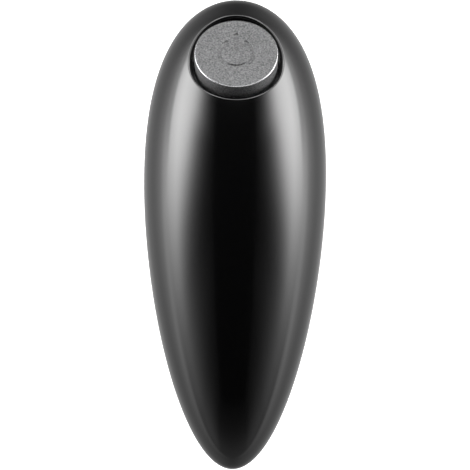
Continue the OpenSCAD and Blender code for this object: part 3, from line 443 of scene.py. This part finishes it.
def make_bottom_shell(count=560, steps=56, fillet=1.6):
    t = even_outline(count)
    q, nq = outline(t)
    low = BASE_Z + fillet
    s0, s1 = np.full(count, 5.0), np.full(count, 8.0)
    put = lambda s: np.column_stack([q - s[:, None] * nq, np.full(count, low)])
    f0 = nearest(put(s0))[0] + fillet
    for _ in range(9):
        f1 = nearest(put(s1))[0] + fillet
        step = np.where(np.abs(f1 - f0) > 1e-9, f1 * (s1 - s0) / np.where(f1 == f0, 1, f1 - f0), 0)
        s0, f0 = s1, f1
        s1 = s1 - step
    c = put(s1)
    n = nearest(c)[1]
    down = np.tile([0.0, 0, -1], (count, 1))
    r = Rings(c + fillet * down)
    last = down
    for k in range(1, 9):
        m = slerp(down, n, k / 8)
        r.to(c + fillet * m, last, m)
        last = m
    touch = (c + fillet * n)[:, :2]
    for k in range(1, steps + 1):
        s = 1 - (1 - k / steps) ** 2
        p = on_surface(touch * (1 - s) + q * s, -1, 0, EDGE)
        m = egg_normal(p) if k < steps else np.column_stack([nq, np.zeros(count)])
        r.to(p, last, m)
        last = m
    side = np.column_stack([nq, np.zeros(count)])
    rim = np.column_stack([q, np.full(count, AXIS_Z - EDGE)]) - EDGE * side
    for k in range(1, 5):
        m = slerp(side, -down, k / 4)
        r.to(rim + EDGE * m, last, m)
        last = m
    q1 = outline(t, WALL / 2 + 0.15)[0]
    q2 = outline(t, WALL)[0]
    lip = AXIS_Z + 1.6
    r.to(np.column_stack([q1, np.full(count, AXIS_Z)]))
    r.to(np.column_stack([q1, np.full(count, lip)]))
    r.to(np.column_stack([q2, np.full(count, lip)]))
    r.to(np.column_stack([q2, np.full(count, AXIS_Z - 0.01)]))
    lo, hi = np.zeros(count), np.full(count, 12.0)
    for _ in range(40):
        mid = (lo + hi) / 2
        p = q2 - mid[:, None] * nq
        deep = radius2(p[:, 1], WALL)[0] - p[:, 0] ** 2 > (AXIS_Z - FLOOR_Z) ** 2
        lo, hi = np.where(deep, lo, mid), np.where(deep, mid, hi)
    foot = q2 - hi[:, None] * nq
    last = None
    for k in range(1, 17):
        s = (k / 16) ** 1.6
        p = on_surface(q2 * (1 - s) + foot * s, -1, WALL, 0.01)
        m = -egg_normal(p, WALL)
        r.to(p, last if last is not None else m, m)
        last = m
    me = r.mesh("bottom_body", caps=((0, (0, 0, -1)), (len(r.rings) - 1, (0, 0, 1))), own_normals=False)

    def turned(x, y, rows, count=64):
        return lambda bm: levels(bm, [[(px, py, z) for px, py in circle(x, y, rad, count)] for z, rad in rows])

    def block(x0, y0, x1, y1, r, z0, z1):
        return lambda bm: prism(bm, rounded_rectangle(x0, y0, x1, y1, r), z0, z1)

    added = [guard_solid, turned(*MAGNET_AT, ((3.9, 8.4), (4.02, 8.68), (4.3, 8.8), (BASE_Z + 1, 8.8)), 96)]
    added += [turned(x, y, ((FLOOR_Z - 1, 3.6), (AXIS_Z - 1, 3.6))) for x, y in SHELL_SCREWS]
    added += [block(x - 1.5, -14.2, x + 1.5, -8.2, 0.2, FLOOR_Z - 1, HINGE_Z + 2.2) for x in (-17.1, 17.1)]
    removed = [turned(x, y, ((BASE_Z - 1, 4.3), (BASE_Z + 0.3, 3.0), (BASE_Z + 5.5, 3.0), (BASE_Z + 5.51, 1.5),
                             (AXIS_Z, 1.5))) for x, y in SHELL_SCREWS]
    removed += [turned(*DRIVE_AT, ((BASE_Z - 1, 5.63), (BASE_Z + 0.2, 4.43), (FLOOR_Z + 1, 4.43)), 72),
                turned(*GUARD_AT, ((BASE_Z - 1, 9.8), (BASE_Z + 0.3, 8.5), (FLOOR_Z + 1, 8.5)), 96),
                turned(*MAGNET_AT, ((2.0, 7.03), (BASE_Z + 1.2, 7.03)), 96),
                block(-DOOR_X - DOOR_GAP, DOOR_Y0 - DOOR_GAP, DOOR_X + DOOR_GAP, DOOR_Y1 + HINGE_R + DOOR_GAP, 0.25,
                      BASE_Z - 1, FLOOR_Z + 1.5),
                lambda bm: cylinder_x(bm, -DOOR_X - 2, DOOR_X + 2, DOOR_Y1, HINGE_Z, 0.75)]
    removed += [block(x - 0.6, 66, x + 0.6, 74, 0.59, BASE_Z - 1, BASE_Z + 0.5) for x in (-12, 12)]

    me = combine(me, added, removed)
    me.name = "bottom_shell_outer"
    crease(me)
    return me


def make_battery_door():
    """The door: a plate with softened edges, a barrel with pins, grip grooves, and a gap for its latch."""
    soft = 0.35

    def plate(bm):
        rows = []
        for z, inset in ((BASE_Z, soft), (BASE_Z + soft * 0.3, soft * 0.3), (BASE_Z + soft, 0), (BASE_Z + DOOR_T, 0)):
            rows.append([(x, y, z) for x, y in rounded_rectangle(-DOOR_X + inset, DOOR_Y0 + inset, DOOR_X - inset,
                                                                 DOOR_Y1 - inset, 1.2)])
        levels(bm, rows)

    def rod(x, y, z, r, count):
        return lambda bm: cylinder_x(bm, -x, x, y, z, r, count)

    added = [rod(DOOR_X, DOOR_Y1, HINGE_Z, HINGE_R - 0.005, 48), rod(DOOR_X + 1.6, DOOR_Y1, HINGE_Z, 0.7, 32)]
    latch_gap = rounded_rectangle(-5.3, DOOR_Y0 - 3, 5.3, DOOR_Y0 + 9.3, 0.8)
    removed = [lambda bm: prism(bm, latch_gap, BASE_Z - 1, FLOOR_Z + 1)]
    removed += [rod(8.0 - k * 1.2, DOOR_Y1 - 9.0 - 2.4 * k, BASE_Z - 0.1, 0.62, 24) for k in range(5)]

    me = combine(solid("plate", plate), added, removed)
    me.name = "battery_door_plate"
    crease(me)
    return me


# ------------------------------------------------------------------ button

def smooth(t):
    t = np.clip(t, 0, 1)
    return t * t * (3 - 2 * t)


def mark_depth(x, y):
    """Depth of the button's engraved start mark: an open ring with a bar in its gap."""
    width, depth, soft = 0.95, 0.5, 0.22
    r = np.hypot(x, y)
    a = np.abs(np.arctan2(x, y))
    gap = math.radians(34)
    arc_r = 6.4
    ends = np.array([math.sin(gap), math.cos(gap)]) * arc_r
    on_arc = np.abs(r - arc_r)
    off_end = np.hypot(np.abs(x) - ends[0], y - ends[1])
    ring = np.where(a > gap, on_arc, off_end)
    bar = np.hypot(x, y - np.clip(y, 2.4, 8.9))
    away = np.minimum(ring, bar)
    return depth * (1 - smooth((away - width + soft) / (2 * soft)))


def make_button(count=384):
    a = np.linspace(0, 2 * math.pi, count, endpoint=False)
    c, s = np.cos(a), np.sin(a)
    round_r = 0.32

    def face_point(radius):
        x, y = radius * c, radius * s
        z = -mark_depth(x, y)
        return np.stack([x, y, z], 1)

    def face_normal(radius):
        e = 0.02
        x, y = radius * c, radius * s
        dx = (mark_depth(x + e, y) - mark_depth(x - e, y)) / (2 * e)
        dy = (mark_depth(x, y + e) - mark_depth(x, y - e)) / (2 * e)
        n = np.stack([dx, dy, np.ones(count)], 1)
        return n / np.linalg.norm(n, axis=1)[:, None]

    def flat_ring(radius, z):
        return np.stack([radius * c, radius * s, np.full(count, float(z))], 1)

    out = np.stack([c, s, 0 * c], 1)
    up = np.tile([0.0, 0, 1], (count, 1))
    flat = BUTTON_R - round_r
    radii = np.concatenate([[0.04], np.linspace(0.15, 10.8, 120), np.linspace(11.2, flat, 16)])
    r = Rings(from_button(face_point(radii[0])))
    last = turn_from_button(face_normal(radii[0]))
    for radius in radii[1:]:
        m = turn_from_button(face_normal(radius))
        r.to(from_button(face_point(radius)), last, m)
        last = m
    for k in range(1, 9):
        w = math.pi / 2 * k / 8
        m = math.sin(w) * out + math.cos(w) * up
        r.to(from_button(flat_ring(flat, -round_r) + round_r * m), last, turn_from_button(m))
        last = turn_from_button(m)
    o = turn_from_button(out)
    r.to(from_button(flat_ring(BUTTON_R, SKIRT)), last, o)
    r.to(from_button(flat_ring(BUTTON_R - BUTTON_WALL, SKIRT)))
    r.to(from_button(flat_ring(BUTTON_R - BUTTON_WALL, ROOF)), -o, -o)
    r.to(from_button(flat_ring(0.04, ROOF)))
    me = r.mesh("button_cap", caps=((0, UP), (len(r.rings) - 1, -UP)))
    polished = np.zeros(len(me.polygons), np.int32)
    polished[(len(radii) - 1) * count:(len(radii) + 7) * count] = 1
    me.materials.append(materials["silver_paint"])
    me.materials.append(materials["silver_edge"])
    me.polygons.foreach_set("material_index", polished)
    return me


SPRING_R, SPRING_WIRE, SPRING_LOW, SPRING_TOP, TRAVEL = 12.3, 0.45, -14.29, -1.91, 1.6


def make_spring(turns=4, per_turn=56, sides=12):
    """The button's coil spring: a round wire wound at an even pitch."""
    count = turns * per_turn
    t = np.linspace(0, 1, count + 1)
    a = 2 * math.pi * turns * t
    h = SPRING_LOW + SPRING_WIRE + (SPRING_TOP - SPRING_LOW - 2 * SPRING_WIRE) * t
    verts = []
    for k in range(count + 1):
        rise = (SPRING_TOP - SPRING_LOW) / (2 * math.pi * turns * SPRING_R)
        out = np.array([math.cos(a[k]), math.sin(a[k]), 0])
        up = np.array([math.sin(a[k]) * rise, -math.cos(a[k]) * rise, 1])
        for w in np.linspace(0, 2 * math.pi, sides, endpoint=False):
            verts.append(SPRING_R * out + np.array([0, 0, h[k]]) + SPRING_WIRE * (math.cos(w) * out + math.sin(w) * up))
    faces = [(k * sides + i, k * sides + (i + 1) % sides, (k + 1) * sides + (i + 1) % sides, (k + 1) * sides + i)
             for k in range(count) for i in range(sides)]
    faces += [tuple(range(sides)), tuple(count * sides + i for i in range(sides))]
    bm = bmesh.new()
    rows = [bm.verts.new((p * MM).tolist()) for p in from_button(verts)]
    for f in faces:
        bm.faces.new([rows[i] for i in f])
    bmesh.ops.recalc_face_normals(bm, faces=bm.faces)
    me = bpy.data.meshes.new("button_coil")
    bm.to_mesh(me)
    bm.free()
    crease(me, 50)
    return me


# ------------------------------------------------------------------ materials

def socket(node, name, value):
    node.inputs[name].default_value = value


def finish(name, color, metallic=0.0, rough=0.5, spread=0.06, grain=600.0, bump=0.1, depth=0.00002, tint=0.04,
           detail=4.0, speckle=0.0, coat=0.0):
    """A material with a fine grain in its height, uneven roughness and a slight drift of colour."""
    m = bpy.data.materials.new(name)
    m.use_nodes = True
    t = m.node_tree
    t.nodes.clear()
    out = t.nodes.new("ShaderNodeOutputMaterial")
    b = t.nodes.new("ShaderNodeBsdfPrincipled")
    t.links.new(b.outputs[0], out.inputs[0])
    socket(b, "Metallic", metallic)
    socket(b, "IOR", 1.5)
    socket(b, "Coat Weight", coat)
    socket(b, "Coat Roughness", 0.1)
    socket(b, "Specular IOR Level", 0.5)
    where = t.nodes.new("ShaderNodeTexCoord")
    fine = t.nodes.new("ShaderNodeTexNoise")
    socket(fine, "Scale", grain)
    socket(fine, "Detail", detail)
    t.links.new(where.outputs["Object"], fine.inputs["Vector"])
    broad = t.nodes.new("ShaderNodeTexNoise")
    socket(broad, "Scale", grain / 14)
    socket(broad, "Detail", 3.0)
    t.links.new(where.outputs["Object"], broad.inputs["Vector"])
    spread_node = t.nodes.new("ShaderNodeMapRange")
    socket(spread_node, "To Min", max(0.02, rough - spread))
    socket(spread_node, "To Max", min(1.0, rough + spread))
    t.links.new(broad.outputs["Fac"], spread_node.inputs["Value"])
    t.links.new(spread_node.outputs[0], b.inputs["Roughness"])
    mix = t.nodes.new("ShaderNodeMix")
    mix.data_type = "RGBA"
    lo = [c * (1 - tint) for c in color]
    hi = [min(1, c * (1 + tint)) for c in color]
    for i in mix.inputs:
        if i.type == "RGBA" and i.name == "A":
            i.default_value = (*lo, 1)
        if i.type == "RGBA" and i.name == "B":
            i.default_value = (*hi, 1)
    t.links.new(broad.outputs["Fac"], mix.inputs["Factor"])
    shade = [o for o in mix.outputs if o.type == "RGBA"][0]
    if speckle:
        grains = t.nodes.new("ShaderNodeMapRange")
        socket(grains, "From Min", 0.3)
        socket(grains, "From Max", 0.7)
        socket(grains, "To Min", 1 - speckle)
        socket(grains, "To Max", 1 + speckle)
        t.links.new(fine.outputs["Fac"], grains.inputs["Value"])
        scaled = t.nodes.new("ShaderNodeVectorMath")
        scaled.operation = "SCALE"
        t.links.new(shade, scaled.inputs[0])
        t.links.new(grains.outputs[0], scaled.inputs["Scale"])
        shade = scaled.outputs[0]
    t.links.new(shade, b.inputs["Base Color"])
    bump_node = t.nodes.new("ShaderNodeBump")
    socket(bump_node, "Strength", bump)
    socket(bump_node, "Distance", depth)
    t.links.new(fine.outputs["Fac"], bump_node.inputs["Height"])
    t.links.new(bump_node.outputs[0], b.inputs["Normal"])
    return m


FINISHES = {
    "gloss_black": dict(color=(0.0012, 0.0012, 0.0013), rough=0.14, spread=0.012, grain=900, bump=0.06, depth=0.00001),
    "satin_black": dict(color=(0.012, 0.012, 0.0125), rough=0.42, spread=0.05, grain=2600, bump=0.35, depth=0.00003),
    "silver_paint": dict(color=(0.075, 0.0753, 0.0765), metallic=0.4, rough=0.48, spread=0.06, grain=1500, bump=0.8,
                         depth=0.00012, tint=0.12, speckle=0.6, detail=2.0),
    "silver_edge": dict(color=(0.3, 0.3, 0.305), metallic=0.9, rough=0.24, spread=0.04, grain=1800, bump=0.2,
                        depth=0.00003, tint=0.06),
    "screw_steel": dict(color=(0.45, 0.45, 0.46), metallic=1, rough=0.28, grain=1500, bump=0.15),
    "spring_steel": dict(color=(0.4, 0.4, 0.41), metallic=1, rough=0.25, grain=1500, bump=0.1),
    "black_plastic": dict(color=(0.016, 0.016, 0.017), rough=0.45, grain=2200, bump=0.3),
    "circuit_board": dict(color=(0.008, 0.075, 0.03), rough=0.32, grain=1400, bump=0.2, tint=0.2, coat=0.4),
    "white_plastic": dict(color=(0.72, 0.71, 0.67), rough=0.4, grain=1200, bump=0.12),
    "zinc_steel": dict(color=(0.5, 0.51, 0.53), metallic=1, rough=0.34, spread=0.12, grain=700, bump=0.15, tint=0.12),
    "pin_steel": dict(color=(0.55, 0.55, 0.56), metallic=1, rough=0.18, grain=900, bump=0.06),
    "brass": dict(color=(0.62, 0.42, 0.16), metallic=1, rough=0.3, grain=900, bump=0.12, tint=0.1),
    "acetal": dict(color=(0.78, 0.77, 0.73), rough=0.38, grain=900, bump=0.08),
    "wheel_steel": dict(color=(0.47, 0.47, 0.48), metallic=1, rough=0.3, spread=0.1, grain=1600, bump=0.25),
    "cutter_steel": dict(color=(0.6, 0.6, 0.62), metallic=1, rough=0.16, spread=0.05, grain=1200, bump=0.08),
    "rubber": dict(color=(0.014, 0.014, 0.014), rough=0.7, grain=2400, bump=0.4),
    "friction_fibre": dict(color=(0.22, 0.13, 0.07), rough=0.8, grain=1800, bump=0.6, tint=0.3),
    "magnet": dict(color=(0.12, 0.12, 0.125), metallic=1, rough=0.4, grain=1600, bump=0.3),
    "cell_wrap": dict(color=(0.02, 0.12, 0.05), rough=0.25, grain=500, bump=0.05, coat=0.6),
    "contact_metal": dict(color=(0.6, 0.6, 0.57), metallic=1, rough=0.22, grain=900, bump=0.08),
    "wire_red": dict(color=(0.42, 0.02, 0.015), rough=0.4, grain=900, bump=0.08),
    "wire_black": dict(color=(0.012, 0.012, 0.012), rough=0.4, grain=900, bump=0.08),
    "wire_white": dict(color=(0.62, 0.62, 0.6), rough=0.4, grain=900, bump=0.08),
}
materials = {slot: finish(slot + "_finish", **kw) for slot, kw in FINISHES.items()}

slot_of = {s["node"]: s["material_slot"] for s in frame["record"]["subparts"]}
for name, o in nodes.items():
    o.data.materials.clear()
    o.data.materials.append(materials[slot_of[name]])

# ------------------------------------------------------------------ pieces

top = piece("top_shell_outer", make_top_shell(), "housing", ["top_shell"])
top.data.materials.append(materials["gloss_black"])
cap = piece("button_cap", make_button(), "button", ["button"])

coil = piece("button_coil", make_spring(), "housing", ["button_spring"])
coil.data.materials.append(materials["spring_steel"])
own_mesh(coil)

bottom = piece("bottom_shell_outer", make_bottom_shell(), "housing", ["bottom_shell"])
bottom.data.materials.clear()
bottom.data.materials.append(materials["satin_black"])
door = piece("battery_door_plate", make_battery_door(), "door", ["battery_door"])
door.data.materials.clear()
door.data.materials.append(materials["satin_black"])
for o in (bottom, door):
    w = o.modifiers.new("even_normals", "WEIGHTED_NORMAL")
    w.keep_sharp = True

# ------------------------------------------------------------------ floor and light


def glow(name, points, strength, divide=(60, 60)):
    """A plane that gives light, its strength at each point from a function of the point in metres."""
    corner, along, across = (np.array(v, float) for v in points)
    us, vs = np.linspace(0, 1, divide[0] + 1), np.linspace(0, 1, divide[1] + 1)
    grid = np.array([corner + u * along + v * across for v in vs for u in us])
    w = divide[0] + 1
    quads = [(r * w + c, r * w + c + 1, (r + 1) * w + c + 1, (r + 1) * w + c)
             for r in range(divide[1]) for c in range(divide[0])]
    me = bpy.data.meshes.new(name)
    me.from_pydata(grid.tolist(), [], quads)
    layer = me.attributes.new("glow", "FLOAT", "POINT")
    layer.data.foreach_set("value", np.array(strength(grid), np.float32))
    m = bpy.data.materials.new(name)
    m.use_nodes = True
    t = m.node_tree
    t.nodes.clear()
    out = t.nodes.new("ShaderNodeOutputMaterial")
    e = t.nodes.new("ShaderNodeEmission")
    a = t.nodes.new("ShaderNodeAttribute")
    a.attribute_name = "glow"
    t.links.new(a.outputs["Fac"], e.inputs["Strength"])
    t.links.new(e.outputs[0], out.inputs[0])
    me.materials.append(m)
    o = bpy.data.objects.new(name, me)
    scene.collection.objects.link(o)
    o.visible_camera = False
    o.visible_shadow = False
    return o


def along(value, stops):
    return np.interp(value, [s[0] for s in stops], [s[1] for s in stops])


# The side lights: strength, height at which they have halved and how fast they fall, from tail to head
STRENGTH = [(-1.4, 0.45), (-0.6, 0.75), (-0.4, 1.25), (-0.3, 1.85), (-0.22, 2.9), (-0.14, 4.7), (-0.07, 7.0),
            (0.0, 9.8), (0.09, 12.4), (0.2, 13.7), (0.45, 13.5), (0.7, 8.0), (1.4, 5.0)]
HALF_HEIGHT = [(-0.7, 0.5), (-0.4, 0.42), (-0.3, 0.35), (-0.2, 0.28), (-0.1, 0.3), (0.0, 0.38), (0.1, 0.45),
               (0.2, 0.5), (0.3, 0.57), (0.7, 0.6), (1.4, 0.7)]
FALL = [(-0.3, 2.5), (-0.14, 3.0), (0.0, 4.1), (0.1, 4.8), (0.2, 5.4)]
SIDE_X = 0.7


def side_strength(g):
    y, z = g[:, 1], g[:, 2]
    low = 0.66 + 0.34 * np.minimum(1, z / 0.17)
    lean = 1 - 0.09 * np.sign(g[:, 0]) * along(y, [(-0.3, 1), (0.0, 0)])
    return lean * low * along(y, STRENGTH) / (1 + (z / along(y, HALF_HEIGHT)) ** along(y, FALL))


for s in (-1, 1):
    glow("side_light_left" if s < 0 else "side_light_right",
         ((s * SIDE_X, -1.4, 0), (0, 2.8, 0), (0, 0, 1.4)), side_strength, (140, 90))

# The floor's bounce: brighter outward beside the body
OUTWARD = [(0.0, 0.68), (0.06, 0.68), (0.08, 0.8), (0.1, 1.1), (0.12, 1.55), (0.16, 2.3), (0.2, 3.5), (0.24, 4.3),
           (0.4, 5.5), (0.7, 7.0)]
BESIDE = [(-0.4, 0.1), (-0.18, 0.25), (-0.12, 0.4), (-0.08, 0.52), (-0.04, 0.7), (0.0, 0.93), (0.05, 1.0), (0.1, 0.75),
          (0.5, 0.65)]
BASE = [(-1.4, 0.4), (-0.3, 0.45), (-0.12, 0.66), (0.0, 0.68), (0.1, 0.66), (0.2, 0.4), (1.4, 0.3)]
# The dimmer ground before the head and the tail
SHADE = [(-0.4, 0.0), (-0.2, 0.35), (-0.12, 0.5), (-0.09, 0.0), (0.09, 0.0), (0.11, 0.78), (0.15, 0.62),
         (0.25, 0.2), (0.5, 0)]


def floor_strength(g):
    base = along(g[:, 1], BASE) * (1 - along(g[:, 1], SHADE) * np.exp(-(g[:, 0] / 0.035) ** 2))
    return base + (along(np.abs(g[:, 0]), OUTWARD) - 0.68) * along(g[:, 1], BESIDE)


glow("floor_bounce", ((-0.7, -1.4, 0.0), (1.4, 0, 0), (0, 2.8, 0)), floor_strength, (140, 140))
glow("tail_light", ((-0.7, -1.4, 0.0), (1.4, 0, 0), (0, 0, 1.4)),
     lambda g: 0.36 / (1 + (g[:, 2] / 0.7) ** 3))
glow("head_light", ((-0.7, 1.4, 0.0), (1.4, 0, 0), (0, 0, 0.6)),
     lambda g: np.full(len(g), 0.25))


def high_head_strength(g):
    """Two low soft boxes before the head, with a dimmer gap between them and a faint light above."""
    x, z = np.abs(g[:, 0]), g[:, 2]
    low = (4 + 10 * smooth((x - 0.1) / 0.08)) * smooth((z - 0.38) / 0.08) * smooth((0.74 - z) / 0.12)
    return (low + 4 * smooth((z - 0.62) / 0.1) * smooth((1.7 - z) / 0.5)) * smooth((0.42 - x) / 0.1)


glow("high_head_light", ((-0.45, 0.9, 0.2), (0.9, 0, 0), (0, 0, 1.6)),
     high_head_strength, (80, 80))

floor_mesh = bpy.data.meshes.new("floor")
floor_mesh.from_pydata([(-4, -4, 0), (4, -4, 0), (4, 4, 0), (-4, 4, 0)], [], [(0, 1, 2, 3)])
floor = bpy.data.objects.new("floor", floor_mesh)
scene.collection.objects.link(floor)
floor.location.z = -0.0002
m = bpy.data.materials.new("floor")
m.use_nodes = True
b = m.node_tree.nodes["Principled BSDF"]
socket(b, "Base Color", (0.8, 0.8, 0.8, 1))
socket(b, "Roughness", 0.9)
socket(b, "Emission Color", (1, 1, 1, 1))
socket(b, "Emission Strength", 0.9)
clear, back, side_mix = (m.node_tree.nodes.new(k) for k in ("ShaderNodeBsdfTransparent", "ShaderNodeNewGeometry",
                                                           "ShaderNodeMixShader"))
m.node_tree.links.new(back.outputs["Backfacing"], side_mix.inputs[0])
m.node_tree.links.new(b.outputs[0], side_mix.inputs[1])
m.node_tree.links.new(clear.outputs[0], side_mix.inputs[2])
m.node_tree.links.new(side_mix.outputs[0], m.node_tree.nodes["Material Output"].inputs[0])
floor_mesh.materials.append(m)
floor.visible_glossy = False
floor.visible_diffuse = False
floor.visible_shadow = False

world = bpy.data.worlds.new("studio")
scene.world = world
world.use_nodes = True
t = world.node_tree
t.nodes.clear()
out = t.nodes.new("ShaderNodeOutputWorld")
dark, light, mix, path = (t.nodes.new(k) for k in ("ShaderNodeBackground", "ShaderNodeBackground",
                                                     "ShaderNodeMixShader", "ShaderNodeLightPath"))
dark.inputs[0].default_value = (0.004, 0.004, 0.004, 1)
light.inputs[0].default_value = (1, 1, 1, 1)
t.links.new(path.outputs["Is Camera Ray"], mix.inputs[0])
t.links.new(dark.outputs[0], mix.inputs[1])
t.links.new(light.outputs[0], mix.inputs[2])
t.links.new(mix.outputs[0], out.inputs[0])
